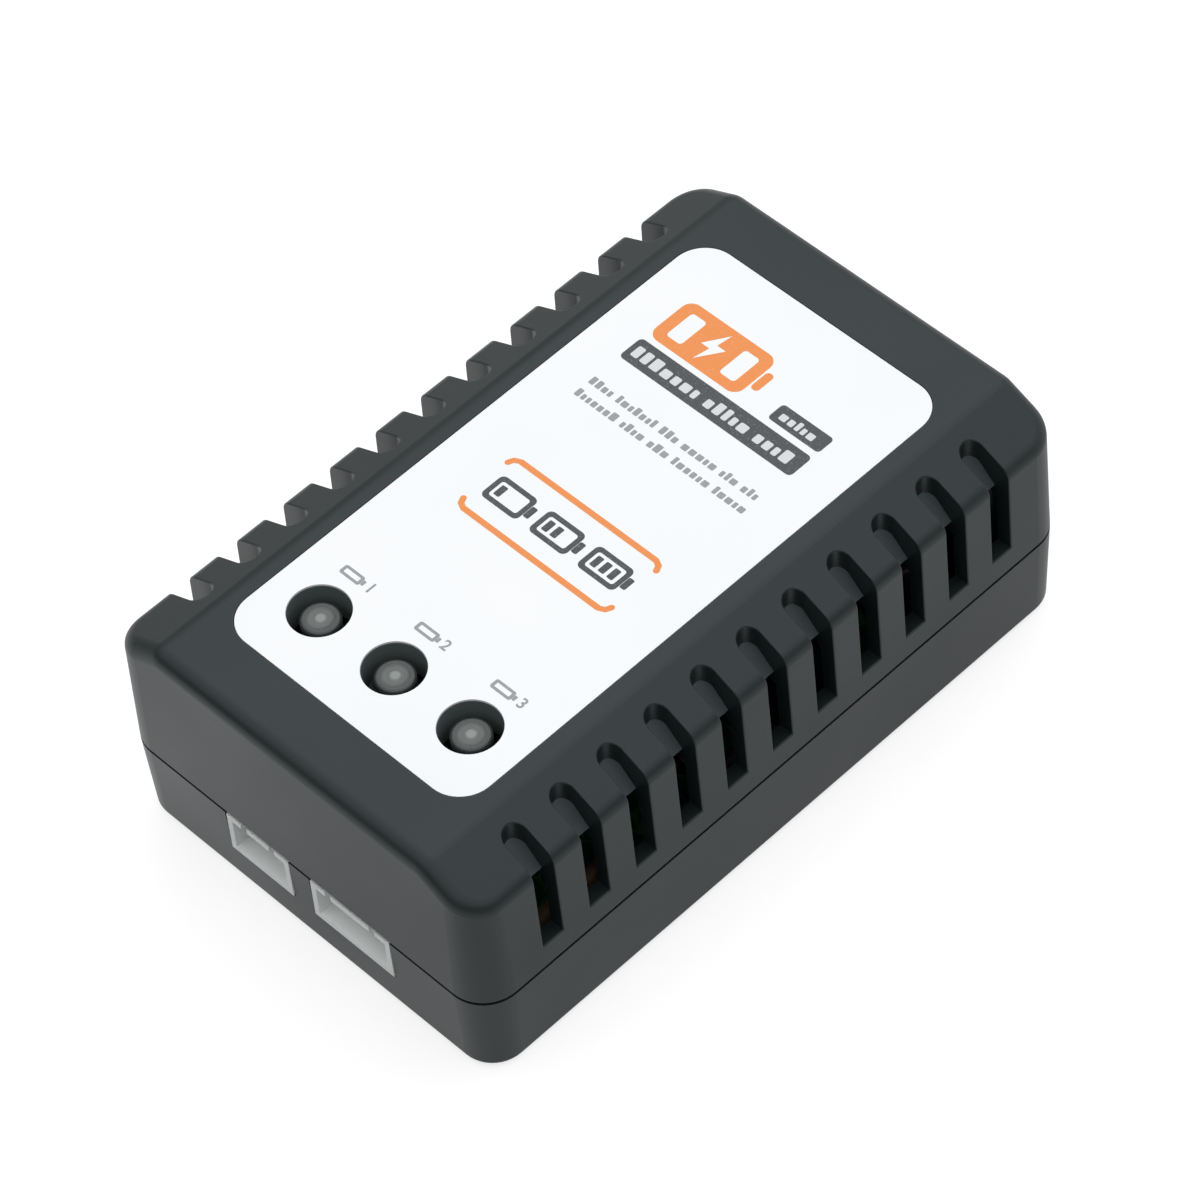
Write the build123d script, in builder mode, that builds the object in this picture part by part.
from build123d import *
import math
import os

os.makedirs("parts", exist_ok=True)

# Balance charger for small three-cell packs.
# Frame: +Z up, origin at the centre of the base. The balance ports face -Y, the mains inlet faces +Y.
# All sizes are in millimetres.

# ---------------------------------------------------------------- driving dimensions

# Case
CASE_W = 57.4              # across the long sides, at the parting line
CASE_L = 91.4              # front wall to back wall, at the parting line
CASE_H = 32.0
PARTING_Z = 12.4
SEAM_GAP = 0.45            # shadow gap between the two shells
UPPER_DRAFT = 1.3          # degrees
LOWER_DRAFT = 2.2
CORNER_R = 4.7             # vertical corners, in plan
WALL = 2.0
TOP_T = 2.2
BASE_T = 1.8
TOP_EDGE_R = 1.9
BASE_EDGE_R = 1.0
LAP_T = 0.9                # tongue of the lower shell that locates the upper one
LAP_H = 1.4
LAP_PLAY = 0.1

# Sloping shoulders along the long sides
SHOULDER_X = 20.7          # the flat top ends here
SHOULDER_ANGLE = 26.0      # fall of the shoulder below the horizontal
CREASE_R = 3.0
HAUNCH_X = 19.4            # the ceiling turns down here, at 45 degrees

# Vent slots
SLOT_COUNT = 11            # on each long side
SLOT_PITCH = 7.0
SLOT_W = 3.0
SLOT_END_X = 23.0          # round inner end on the shoulder
SLOT_SILL_Z = 15.9
WEB_T = 1.5                # sloping web that closes each slot on the shoulder
SLOT_RIM_R = 0.18

# Face label and indicator wells
LABEL_W = 37.5
LABEL_L = 74.5
LABEL_R = 4.2
LABEL_T = 0.25
LABEL_SINK = 0.3           # depth of its recess in the top
WELL_R = 3.6
WELL_PITCH = 11.65
WELL_Y = -29.0
COLLAR_R = 4.7
COLLAR_Z = 27.0

# Light-emitting diodes, flat-topped, 5 mm class
LED_R = 2.35
LED_TOP_Z = 30.75
LED_BODY_H = 8.2
LED_EDGE_R = 0.45
LED_FLANGE_R = 2.8
LED_FLANGE_H = 1.0
LED_LEAD = 0.5
LED_LEAD_PITCH = 1.27

# Circuit board
BOARD_W = 51.4
BOARD_L = 85.6
BOARD_T = 1.6
BOARD_Z = 4.2              # underside
BOARD_TOP = BOARD_Z + BOARD_T
BOARD_NOTCH = 8.4          # clears each screw boss at the corners
POST_R = 2.2
POST_X = 22.5              # posts under the board, three a side
POST_Y = 14.0
LEAD_STUB = 1.0            # how far leads stand below the board

# Balance ports: side-entry headers on a 2.5 mm pitch
PIN_PITCH = 2.5
PIN_SIZE = 0.64
PORT_H = 6.1
PORT_D = 9.2
PORT_END = 4.9             # housing width beyond the outer pins' spacing
PORT_WALL = 0.8
PORT_CAVITY = 7.2
PORT_FACE_Y = -45.62
PORT_SLIT_W = 0.9
PORT_SLIT_IN = 2.75        # slit centres from the housing's ends
PORT_SLIT_L = 5.2
PIN_TIP_IN = 2.6           # pin tips behind the mouth
PORT_PLAY = 0.12
PORTS = {"3pin": (3, -6.9), "4pin": (4, 7.7)}    # pins, centre X

# Mains inlet: two round pins in a figure-eight socket
INLET_W = 20.0
INLET_H = 11.6
INLET_D = 18.5
INLET_FACE_Y = 45.4
INLET_PIN_R = 1.18
INLET_PIN_SPACING = 8.6
INLET_PIN_L = 9.0          # free length in the socket
INLET_BOWL_R = 3.95
INLET_WAIST_H = 6.4
INLET_DEPTH = 12.0
INLET_Z = BOARD_TOP + INLET_H / 2
INLET_PLAY = 0.15

# Choke and transformer
CHOKE_Y = 17.0
CORE_W = 20.0
CORE_D = 6.0
CORE_H = 16.0
CORE_LEG = 5.0
CORE_WINDOW = 4.5
CORE_YOKE = 2.5
CORE_Z = 16.4              # centre
FLANGE_W = 13.6
FLANGE_L = 18.4
FLANGE_T = 0.8
RAIL_T = 3.0

# Case screws
SCREW_X = 22.3
SCREW_Y = 39.3
SCREW_HEAD_R = 2.4
SCREW_HEAD_H = 1.8
SCREW_R = 1.15
SCREW_L = 12.0
SCREW_WELL_R = 2.8
SCREW_WELL_Z = 6.4
LOWER_BOSS_R = 3.7
UPPER_BOSS_R = 3.0
BOSS_MEET_Z = 10.0
BOSS_TOP_Z = 29.0          # just inside the shoulders
PILOT_R = 1.2
PILOT_DEPTH = 10.0

# ---------------------------------------------------------------- derived values

CEILING_Z = CASE_H - TOP_T
UPPER_Z = PARTING_Z + SEAM_GAP / 2
LOWER_Z = PARTING_Z - SEAM_GAP / 2
LAP_TOP = PARTING_Z + LAP_H
SHOULDER_FALL = math.tan(math.radians(SHOULDER_ANGLE))
HAUNCH_SUM = HAUNCH_X + CEILING_Z              # x + z along the haunch's underside
WEB_SUM = HAUNCH_SUM + WEB_T * math.sqrt(2)    # x + z along the slots' sloping floor
SLOT_INNER_X = 26.3        # just inside the side walls, where the web ends square
WEB_FOOT_X = SLOT_INNER_X - WEB_T * math.sqrt(2)
WEB_FOOT_Z = WEB_SUM - SLOT_INNER_X - WEB_T * math.sqrt(2)
PORT_Z = BOARD_TOP + PORT_H / 2
CORNERS = [(x, y) for x in (-SCREW_X, SCREW_X) for y in (-SCREW_Y, SCREW_Y)]
WELLS = [(i * WELL_PITCH, WELL_Y) for i in (-1, 0, 1)]
FACING_DOWN = Plane(origin=(0, 0, LOWER_Z), x_dir=(1, 0, 0), z_dir=(0, 0, -1))


LED_FOOT_Z = LED_TOP_Z - LED_BODY_H
SLOT_REACH = 2 * (CASE_W / 2 - SLOT_END_X)
REBATE_W = CASE_W - 2 * WALL + 2 * (LAP_T + LAP_PLAY)
REBATE_L = CASE_L - 2 * WALL + 2 * (LAP_T + LAP_PLAY)
REBATE_R = CORNER_R - WALL + LAP_T + LAP_PLAY
TONGUE_W = REBATE_W - 2 * LAP_PLAY
TONGUE_L = REBATE_L - 2 * LAP_PLAY
TONGUE_R = REBATE_R - LAP_PLAY
PORT_LEG_Y = PORT_FACE_Y + PORT_D + 1.2        # where the ports' pins turn down
INLET_LEG_Y = INLET_FACE_Y - INLET_D - 1.8     # where the inlet's pins turn down
INLET_MOUTH = Plane(origin=(0, INLET_FACE_Y, INLET_Z), x_dir=(-1, 0, 0), z_dir=(0, 1, 0))
WINDOW_H = CORE_H - 2 * CORE_YOKE
WINDOW_Z = CORE_Z - WINDOW_H / 2               # floor of the winding window


def port_width(pins):
    return PIN_PITCH * (pins - 1) + PORT_END


def at_slot(point):
    """Whether a point on the upper shell is where its slots are, and not on the lands between them."""
    beside = abs(point.Y) % SLOT_PITCH
    off_centre = min(beside, SLOT_PITCH - beside)
    return abs(point.X) > SLOT_END_X - 0.1 and point.Z > SLOT_SILL_Z - 0.1 and off_centre < SLOT_W / 2 + 0.01


def finish(piece, name):
    """Names a finished piece and writes it."""
    piece.part.label = name
    export_step(piece.part, f"parts/{name}.step")


# ---------------------------------------------------------------- upper shell

with BuildPart() as upper_cavity:
    with BuildSketch(Plane.XY.offset(UPPER_Z)):
        RectangleRounded(CASE_W - 2 * WALL, CASE_L - 2 * WALL, CORNER_R - WALL)
    extrude(amount=CEILING_Z - UPPER_Z, taper=UPPER_DRAFT)
    with BuildSketch(Plane.XZ):
        with BuildLine():
            Polyline(
                (HAUNCH_X, CEILING_Z),
                (HAUNCH_X + 10, CEILING_Z - 10),
                (HAUNCH_X + 10, CEILING_Z + 1),
                (HAUNCH_X, CEILING_Z + 1),
                close=True,
            )
        make_face()
        mirror(about=Plane.YZ)
    extrude(amount=CASE_L, both=True, mode=Mode.SUBTRACT)

# The slots run straight in from above and from the side, down to a sloping web.
with BuildPart() as slots:
    with BuildSketch(Plane.XY.offset(SLOT_SILL_Z)):
        with GridLocations(2 * (SLOT_END_X + SLOT_REACH / 2), SLOT_PITCH, 2, SLOT_COUNT):
            SlotOverall(SLOT_REACH, SLOT_W)
    extrude(amount=CASE_H - SLOT_SILL_Z)
    with BuildSketch(Plane.XZ):
        with BuildLine():
            Polyline(
                (0, SLOT_SILL_Z - 1),
                (WEB_FOOT_X, SLOT_SILL_Z - 1),
                (WEB_FOOT_X, WEB_FOOT_Z),
                (SLOT_INNER_X, WEB_SUM - SLOT_INNER_X),
                (0, WEB_SUM),
                close=True,
            )
        make_face()
        mirror(about=Plane.YZ)
    extrude(amount=CASE_L, both=True, mode=Mode.SUBTRACT)

with BuildPart() as upper_shell:
    with BuildSketch(Plane.XY.offset(UPPER_Z)):
        RectangleRounded(CASE_W, CASE_L, CORNER_R)
    extrude(amount=CASE_H - UPPER_Z, taper=UPPER_DRAFT)

    # sloping shoulders, with a soft crease against the flat top
    with BuildSketch(Plane.XZ):
        with BuildLine():
            Polyline(
                (SHOULDER_X, CASE_H),
                (SHOULDER_X + 12, CASE_H - 12 * SHOULDER_FALL),
                (SHOULDER_X + 12, CASE_H + 1),
                (SHOULDER_X, CASE_H + 1),
                close=True,
            )
        make_face()
        mirror(about=Plane.YZ)
    extrude(amount=CASE_L, both=True, mode=Mode.SUBTRACT)
    creases = upper_shell.edges().filter_by(Axis.Y).filter_by_position(Axis.Z, CASE_H - 0.1, CASE_H + 0.1)
    fillet(creases, radius=CREASE_R)

    # one rounding runs round the whole top edge
    high = upper_shell.edges().filter_by(lambda e: e.center().Z > CASE_H - 6)
    rim = high.filter_by(lambda e: abs(e.center().X) > SHOULDER_X + 4 or abs(e.center().Y) > CASE_L / 2 - 2)
    fillet(rim, radius=TOP_EDGE_R)

    # vent slots, softened where they break the skin
    skin = upper_shell.part.shell()
    add(slots.part, mode=Mode.SUBTRACT)
    slot_rims = upper_shell.edges().filter_by(lambda e: at_slot(e @ 0.5) and skin.distance_to(e @ 0.5) < 0.01)
    fillet(slot_rims, radius=SLOT_RIM_R)

    # hollow, rebated below for the tongue
    add(upper_cavity.part, mode=Mode.SUBTRACT)
    with BuildSketch(Plane.XY.offset(UPPER_Z)):
        RectangleRounded(REBATE_W, REBATE_L, REBATE_R)
    extrude(amount=LAP_TOP + LAP_PLAY - UPPER_Z, mode=Mode.SUBTRACT)

    # screw bosses and indicator collars hang from the ceiling
    with BuildSketch(Plane.XY.offset(BOSS_MEET_Z)):
        with Locations(*CORNERS):
            Circle(UPPER_BOSS_R)
    extrude(amount=BOSS_TOP_Z - BOSS_MEET_Z)
    with BuildSketch(Plane.XY.offset(COLLAR_Z)):
        with Locations(*WELLS):
            Circle(COLLAR_R)
    extrude(amount=CEILING_Z - COLLAR_Z)
    with BuildSketch(Plane.XY.offset(BOSS_MEET_Z)):
        with Locations(*CORNERS):
            Circle(PILOT_R)
    extrude(amount=PILOT_DEPTH, mode=Mode.SUBTRACT)
    with BuildSketch(Plane.XY.offset(COLLAR_Z)):
        with Locations(*WELLS):
            Circle(WELL_R)
    extrude(amount=CASE_H - COLLAR_Z, mode=Mode.SUBTRACT)

    # recess for the face label
    with BuildSketch(Plane.XY.offset(CASE_H - LABEL_SINK)):
        RectangleRounded(LABEL_W + 0.2, LABEL_L + 0.2, LABEL_R + 0.1)
    extrude(amount=LABEL_SINK, mode=Mode.SUBTRACT)

    # upper half of the inlet's opening
    with BuildSketch(Plane.XY.offset(UPPER_Z)):
        with Locations((0, CASE_L / 2)):
            Rectangle(INLET_W + 2 * INLET_PLAY, 4 * WALL)
    extrude(amount=INLET_Z + INLET_H / 2 + INLET_PLAY - UPPER_Z, mode=Mode.SUBTRACT)
finish(upper_shell, "upper_shell")

# ---------------------------------------------------------------- lower shell

with BuildPart() as lower_cavity:
    with BuildSketch(FACING_DOWN):
        RectangleRounded(CASE_W - 2 * WALL, CASE_L - 2 * WALL, CORNER_R - WALL)
    extrude(amount=LOWER_Z - BASE_T, taper=LOWER_DRAFT)

with BuildPart() as lower_shell:
    with BuildSketch(FACING_DOWN):
        RectangleRounded(CASE_W, CASE_L, CORNER_R)
    extrude(amount=LOWER_Z, taper=LOWER_DRAFT)
    foot = lower_shell.edges().filter_by_position(Axis.Z, -0.1, 0.1)
    fillet(foot, radius=BASE_EDGE_R)

    # tongue round the rim, then the hollow
    with BuildSketch(Plane.XY.offset(LOWER_Z)):
        RectangleRounded(TONGUE_W, TONGUE_L, TONGUE_R)
    extrude(amount=LAP_TOP - LOWER_Z)
    add(lower_cavity.part, mode=Mode.SUBTRACT)
    with BuildSketch(Plane.XY.offset(LOWER_Z)):
        RectangleRounded(CASE_W - 2 * WALL, CASE_L - 2 * WALL, CORNER_R - WALL)
    extrude(amount=LAP_TOP - LOWER_Z, mode=Mode.SUBTRACT)

    # screw bosses, and posts that carry the board
    with BuildSketch(Plane.XY.offset(BASE_T / 2)):
        with Locations(*CORNERS):
            Circle(LOWER_BOSS_R)
    extrude(amount=BOSS_MEET_Z - BASE_T / 2)
    with BuildSketch(Plane.XY.offset(BASE_T / 2)):
        with GridLocations(2 * POST_X, 2 * POST_Y, 2, 3):
            Circle(POST_R)
    extrude(amount=BOARD_Z - BASE_T / 2)
    with BuildSketch(Plane.XY):
        with Locations(*CORNERS):
            Circle(SCREW_WELL_R)
    extrude(amount=SCREW_WELL_Z, mode=Mode.SUBTRACT)
    with BuildSketch(Plane.XY.offset(SCREW_WELL_Z)):
        with Locations(*CORNERS):
            Circle(SCREW_R + 0.3)
    extrude(amount=BOSS_MEET_Z - SCREW_WELL_Z, mode=Mode.SUBTRACT)

    # notches for the balance ports, and the lower half of the inlet's opening
    for pins, x in PORTS.values():
        with BuildSketch(Plane.XY.offset(BOARD_TOP - PORT_PLAY)):
            with Locations((x, -CASE_L / 2)):
                Rectangle(port_width(pins) + 2 * PORT_PLAY, 4 * WALL)
        extrude(amount=LAP_TOP - BOARD_TOP + PORT_PLAY, mode=Mode.SUBTRACT)
    with BuildSketch(Plane.XY.offset(BOARD_TOP - INLET_PLAY)):
        with Locations((0, CASE_L / 2)):
            Rectangle(INLET_W + 2 * INLET_PLAY, 4 * WALL)
    extrude(amount=LAP_TOP - BOARD_TOP + INLET_PLAY, mode=Mode.SUBTRACT)
finish(lower_shell, "lower_shell")

# ---------------------------------------------------------------- face label

with BuildPart() as face_label:
    with BuildSketch(Plane.XY.offset(CASE_H - LABEL_SINK)):
        RectangleRounded(LABEL_W, LABEL_L, LABEL_R)
        with Locations(*WELLS):
            Circle(WELL_R + 0.05, mode=Mode.SUBTRACT)
    extrude(amount=LABEL_T)
finish(face_label, "face_label")

# ---------------------------------------------------------------- indicator lights

for number, (x, y) in enumerate(WELLS, start=1):
    with BuildPart() as led:
        with BuildSketch(Plane.XY.offset(LED_FOOT_Z)):
            with Locations((x, y)):
                Circle(LED_FLANGE_R)
        extrude(amount=LED_FLANGE_H)
        with BuildSketch(Plane.XY.offset(LED_FOOT_Z)):
            with Locations((x, y)):
                Circle(LED_R)
        extrude(amount=LED_BODY_H)
        fillet(led.edges().group_by(Axis.Z)[-1], radius=LED_EDGE_R)
    finish(led, f"led_{number}")

with BuildPart() as led_spacers:
    with BuildSketch(Plane.XY.offset(BOARD_TOP)):
        with Locations(*WELLS):
            Circle(LED_R)
            with GridLocations(2 * LED_LEAD_PITCH, 1, 2, 1):
                Circle(LED_LEAD, mode=Mode.SUBTRACT)
    extrude(amount=LED_FOOT_Z - BOARD_TOP)
finish(led_spacers, "led_spacers")

with BuildPart() as led_leads:
    with BuildSketch(Plane.XY.offset(BOARD_Z - LEAD_STUB)):
        with Locations(*WELLS):
            with GridLocations(2 * LED_LEAD_PITCH, 1, 2, 1):
                Rectangle(LED_LEAD, LED_LEAD)
    extrude(amount=LED_FOOT_Z - BOARD_Z + LEAD_STUB)
finish(led_leads, "led_leads")

# ---------------------------------------------------------------- circuit board

with BuildPart() as circuit_board:
    with BuildSketch(Plane.XY.offset(BOARD_Z)):
        Rectangle(BOARD_W, BOARD_L)
        with Locations(*CORNERS):
            Rectangle(BOARD_NOTCH, BOARD_NOTCH, mode=Mode.SUBTRACT)
        with Locations(*WELLS):
            with GridLocations(2 * LED_LEAD_PITCH, 1, 2, 1):
                Circle(LED_LEAD, mode=Mode.SUBTRACT)
        for pins, x in PORTS.values():
            with Locations((x, PORT_LEG_Y)):
                with GridLocations(PIN_PITCH, 1, pins, 1):
                    Circle(PIN_SIZE, mode=Mode.SUBTRACT)
        with Locations((0, INLET_LEG_Y)):
            with GridLocations(INLET_PIN_SPACING, 1, 2, 1):
                Circle(INLET_PIN_R + 0.3, mode=Mode.SUBTRACT)
    extrude(amount=BOARD_T)
finish(circuit_board, "circuit_board")

# ---------------------------------------------------------------- balance ports

for name, (pins, x) in PORTS.items():
    width = port_width(pins)
    back = PORT_FACE_Y + PORT_D
    with BuildPart() as port:
        with Locations((x, PORT_FACE_Y + PORT_D / 2, PORT_Z)):
            Box(width, PORT_D, PORT_H)
        with Locations((x, PORT_FACE_Y + PORT_CAVITY / 2, PORT_Z)):
            Box(width - 2 * PORT_WALL, PORT_CAVITY, PORT_H - 2 * PORT_WALL, mode=Mode.SUBTRACT)
        with Locations((x, PORT_FACE_Y + PORT_SLIT_L / 2, PORT_Z + PORT_H / 2)):
            with GridLocations(width - 2 * PORT_SLIT_IN, 1, 2, 1):
                Box(PORT_SLIT_W, PORT_SLIT_L, 2.2 * PORT_WALL, mode=Mode.SUBTRACT)
        with Locations((x, back - 1, PORT_Z)):
            with GridLocations(PIN_PITCH, 1, pins, 1):
                Box(PIN_SIZE + 0.04, PORT_D - PORT_CAVITY + 1, PIN_SIZE + 0.04, mode=Mode.SUBTRACT)
    finish(port, f"balance_port_{name}")

    # the pins come forward out of the back wall and turn down through the board
    tip = PORT_FACE_Y + PIN_TIP_IN
    with BuildPart() as port_pins:
        with Locations((x, (tip + PORT_LEG_Y) / 2, PORT_Z)):
            with GridLocations(PIN_PITCH, 1, pins, 1):
                Box(PIN_SIZE, PORT_LEG_Y - tip + PIN_SIZE, PIN_SIZE)
        with Locations((x, PORT_LEG_Y, (PORT_Z + BOARD_Z - LEAD_STUB) / 2)):
            with GridLocations(PIN_PITCH, 1, pins, 1):
                Box(PIN_SIZE, PIN_SIZE, PORT_Z - BOARD_Z + LEAD_STUB + PIN_SIZE)
        shoulders = port_pins.edges().filter_by(Axis.X).filter_by_position(
            Axis.Z, PORT_Z + PIN_SIZE / 2 - 0.01, PORT_Z + PIN_SIZE / 2 + 0.01
        )
        outer = shoulders.filter_by(lambda e: e.center().Y > PORT_LEG_Y)
        fillet(outer, radius=0.5)
    finish(port_pins, f"port_pins_{name}")

# ---------------------------------------------------------------- mains inlet

with BuildPart() as mains_inlet:
    with Locations((0, INLET_FACE_Y - INLET_D / 2, INLET_Z)):
        Box(INLET_W, INLET_D, INLET_H)
    corners = mains_inlet.edges().filter_by(Axis.Y)
    fillet(corners, radius=0.8)
    with BuildSketch(INLET_MOUTH):
        with GridLocations(INLET_PIN_SPACING, 1, 2, 1):
            Circle(INLET_BOWL_R)
        Rectangle(INLET_PIN_SPACING, INLET_WAIST_H)
    extrude(amount=-INLET_DEPTH, mode=Mode.SUBTRACT)
    lip = mains_inlet.faces().sort_by(Axis.Y)[-1].inner_wires()[0].edges()
    chamfer(lip, length=0.4)
    with BuildSketch(INLET_MOUTH):
        with GridLocations(INLET_PIN_SPACING, 1, 2, 1):
            Circle(INLET_PIN_R + 0.05)
    extrude(amount=-INLET_D, mode=Mode.SUBTRACT)
finish(mains_inlet, "mains_inlet")

with BuildPart() as inlet_pins:
    with BuildSketch(Plane.XZ.offset(-INLET_LEG_Y)):
        with Locations((0, INLET_Z)):
            with GridLocations(INLET_PIN_SPACING, 1, 2, 1):
                Circle(INLET_PIN_R)
    extrude(amount=-(INLET_FACE_Y - INLET_DEPTH + INLET_PIN_L - INLET_LEG_Y))
    tips = inlet_pins.edges().filter_by(lambda e: e.center().Y > INLET_FACE_Y - 5)
    fillet(tips, radius=0.7)
    with BuildSketch(Plane.XY.offset(BOARD_Z - LEAD_STUB)):
        with Locations((0, INLET_LEG_Y)):
            with GridLocations(INLET_PIN_SPACING, 1, 2, 1):
                Circle(INLET_PIN_R)
    extrude(amount=INLET_Z - BOARD_Z + LEAD_STUB)
    with Locations((0, INLET_LEG_Y, INLET_Z)):
        with GridLocations(INLET_PIN_SPACING, 1, 2, 1):
            Sphere(INLET_PIN_R)
finish(inlet_pins, "inlet_pins")

# ---------------------------------------------------------------- parts on the mains side

with BuildPart() as input_fuse:
    with BuildSketch(Plane.XY.offset(BOARD_TOP)):
        with Locations((17, 29)):
            Circle(4.2)
    extrude(amount=7.7)
    fillet(input_fuse.edges().group_by(Axis.Z)[-1], radius=0.6)
finish(input_fuse, "input_fuse")

with BuildPart() as x_capacitor:
    with Locations((-17, 28, BOARD_TOP + 6)):
        Box(6, 13, 12)
    fillet(x_capacitor.edges().group_by(Axis.Z)[-1], radius=0.5)
finish(x_capacitor, "x_capacitor")

with BuildPart() as choke_core:
    with BuildSketch(Plane.XY.offset(BOARD_TOP + 1)):
        with Locations((0, CHOKE_Y)):
            Circle(6.2)
            Circle(3.3, mode=Mode.SUBTRACT)
    extrude(amount=5)
finish(choke_core, "choke_core")

# two halves wound on the ring, apart from each other
with BuildPart() as choke_windings:
    with BuildSketch(Plane.XY.offset(BOARD_TOP)):
        with Locations((0, CHOKE_Y)):
            Circle(7.2)
            Circle(2.3, mode=Mode.SUBTRACT)
            Rectangle(4, 20, mode=Mode.SUBTRACT)
    extrude(amount=7)
    with BuildSketch(Plane.XY.offset(BOARD_TOP + 0.98)):
        with Locations((0, CHOKE_Y)):
            Circle(6.22)
            Circle(3.28, mode=Mode.SUBTRACT)
    extrude(amount=5.04, mode=Mode.SUBTRACT)
finish(choke_windings, "choke_windings")

with BuildPart() as bridge_rectifier:
    with Locations((-17, 14, BOARD_TOP + 1.7)):
        Box(6.4, 8.4, 3.4)
    chamfer(bridge_rectifier.edges().group_by(Axis.Z)[-1], length=0.4)
finish(bridge_rectifier, "bridge_rectifier")

with BuildPart() as bulk_capacitor:
    with BuildSketch(Plane.XY.offset(BOARD_TOP)):
        with Locations((17.5, 12)):
            Circle(6.3)
    extrude(amount=18)
    fillet(bulk_capacitor.edges().group_by(Axis.Z)[-1], radius=0.8)
finish(bulk_capacitor, "bulk_capacitor")

with BuildPart() as switching_controller:
    with Locations((-17, 3, BOARD_TOP + 1.65)):
        Box(6.4, 9.3, 3.3)
    chamfer(switching_controller.edges().group_by(Axis.Z)[-1], length=0.4)
finish(switching_controller, "switching_controller")

with BuildPart() as y_capacitor:
    with Locations((-17, -6.5, BOARD_TOP + 4.6)):
        Cylinder(4.2, 3.4, rotation=(0, 90, 0))
    fillet(y_capacitor.edges(), radius=0.8)
finish(y_capacitor, "y_capacitor")

with BuildPart() as optocoupler:
    with Locations((-17, -14, BOARD_TOP + 1.75)):
        Box(6.4, 4.6, 3.5)
    chamfer(optocoupler.edges().group_by(Axis.Z)[-1], length=0.4)
finish(optocoupler, "optocoupler")

# ---------------------------------------------------------------- transformer

with BuildPart() as transformer_core:
    with Locations((0, 0, CORE_Z)):
        Box(CORE_W, CORE_D, CORE_H)
        with GridLocations(CORE_LEG + CORE_WINDOW, 1, 2, 1):
            Box(CORE_WINDOW, CORE_D, CORE_H - 2 * CORE_YOKE, mode=Mode.SUBTRACT)
finish(transformer_core, "transformer_core")

with BuildPart() as transformer_bobbin:
    with Locations((0, 0, CORE_Z)):
        Box(CORE_LEG + 1.6, CORE_D + 1.6, WINDOW_H)
    for end in (-1, 1):
        with Locations((0, 0, CORE_Z + end * (WINDOW_H - FLANGE_T) / 2)):
            Box(FLANGE_W, FLANGE_L, FLANGE_T)
    with Locations((0, 0, CORE_Z)):
        Box(CORE_LEG + 0.06, CORE_D + 0.06, WINDOW_H, mode=Mode.SUBTRACT)
    for side in (-1, 1):
        with Locations((0, side * (FLANGE_L - RAIL_T) / 2, (BOARD_TOP + WINDOW_Z + FLANGE_T) / 2)):
            Box(CORE_W - 3, RAIL_T, WINDOW_Z + FLANGE_T - BOARD_TOP)
finish(transformer_bobbin, "transformer_bobbin")

with BuildPart() as transformer_winding:
    with BuildSketch(Plane.XY.offset(WINDOW_Z + FLANGE_T + 0.05)):
        RectangleRounded(FLANGE_W - 0.8, FLANGE_L - 3, 2.5)
        Rectangle(CORE_LEG + 1.7, CORE_D + 1.7, mode=Mode.SUBTRACT)
    extrude(amount=WINDOW_H - 2 * FLANGE_T - 0.1)
finish(transformer_winding, "transformer_winding")

# ---------------------------------------------------------------- parts on the output side

# one rectifier for each cell, lying between its own bent leads
with BuildPart() as output_diodes:
    for x in (13.5, 17.5, 21.5):
        with Locations((x, -3, BOARD_TOP + 1.8)):
            Cylinder(1.35, 5.2, rotation=(90, 0, 0))
            Cylinder(0.4, 9.6, rotation=(90, 0, 0))
        with Locations((x, -3, (BOARD_TOP + 2.2 + BOARD_TOP) / 2)):
            with GridLocations(1, 8.8, 1, 2):
                Cylinder(0.4, 2.2)
finish(output_diodes, "output_diodes")

with BuildPart() as output_capacitors:
    with BuildSketch(Plane.XY.offset(BOARD_TOP)):
        with Locations((-7, -14.4), (3, -14.4), (13, -14.4)):
            Circle(3.9)
    extrude(amount=12)
    fillet(output_capacitors.edges().group_by(Axis.Z)[-1], radius=0.6)
finish(output_capacitors, "output_capacitors")

with BuildPart() as charge_controllers:
    with Locations((0, -21.4, BOARD_TOP + 0.8)):
        with GridLocations(WELL_PITCH, 1, 3, 1):
            Box(5, 4, 1.6)
    chamfer(charge_controllers.edges().group_by(Axis.Z)[-1], length=0.25)
finish(charge_controllers, "charge_controllers")

with BuildPart() as resistors:
    with Locations((0, -26, BOARD_TOP + 1.5)):
        with GridLocations(42, 10.5, 2, 2):
            Cylinder(1.15, 6.3, rotation=(90, 0, 0))
            Cylinder(0.3, 9, rotation=(90, 0, 0))
    with Locations((0, -26, BOARD_TOP + 0.75)):
        for side in (-1, 1):
            with GridLocations(42, 10.5 + side * 8.4, 2, 2):
                Cylinder(0.3, 1.5)
finish(resistors, "resistors")

# ---------------------------------------------------------------- case screws

with BuildPart() as case_screws:
    with BuildSketch(Plane.XY.offset(SCREW_WELL_Z)):
        with Locations(*CORNERS):
            Circle(SCREW_R)
    extrude(amount=SCREW_L)
    tips = case_screws.edges().group_by(Axis.Z)[-1]
    chamfer(tips, length=0.6)
    with BuildSketch(Plane.XY.offset(SCREW_WELL_Z - SCREW_HEAD_H)):
        with Locations(*CORNERS):
            Circle(SCREW_HEAD_R)
    extrude(amount=SCREW_HEAD_H)
    heads = case_screws.edges().group_by(Axis.Z)[0]
    fillet(heads, radius=0.6)
    with BuildSketch(Plane.XY.offset(SCREW_WELL_Z - SCREW_HEAD_H)):
        with Locations(*CORNERS):
            Rectangle(0.7, 2.8)
            Rectangle(2.8, 0.7)
    extrude(amount=1, mode=Mode.SUBTRACT)
finish(case_screws, "case_screws")
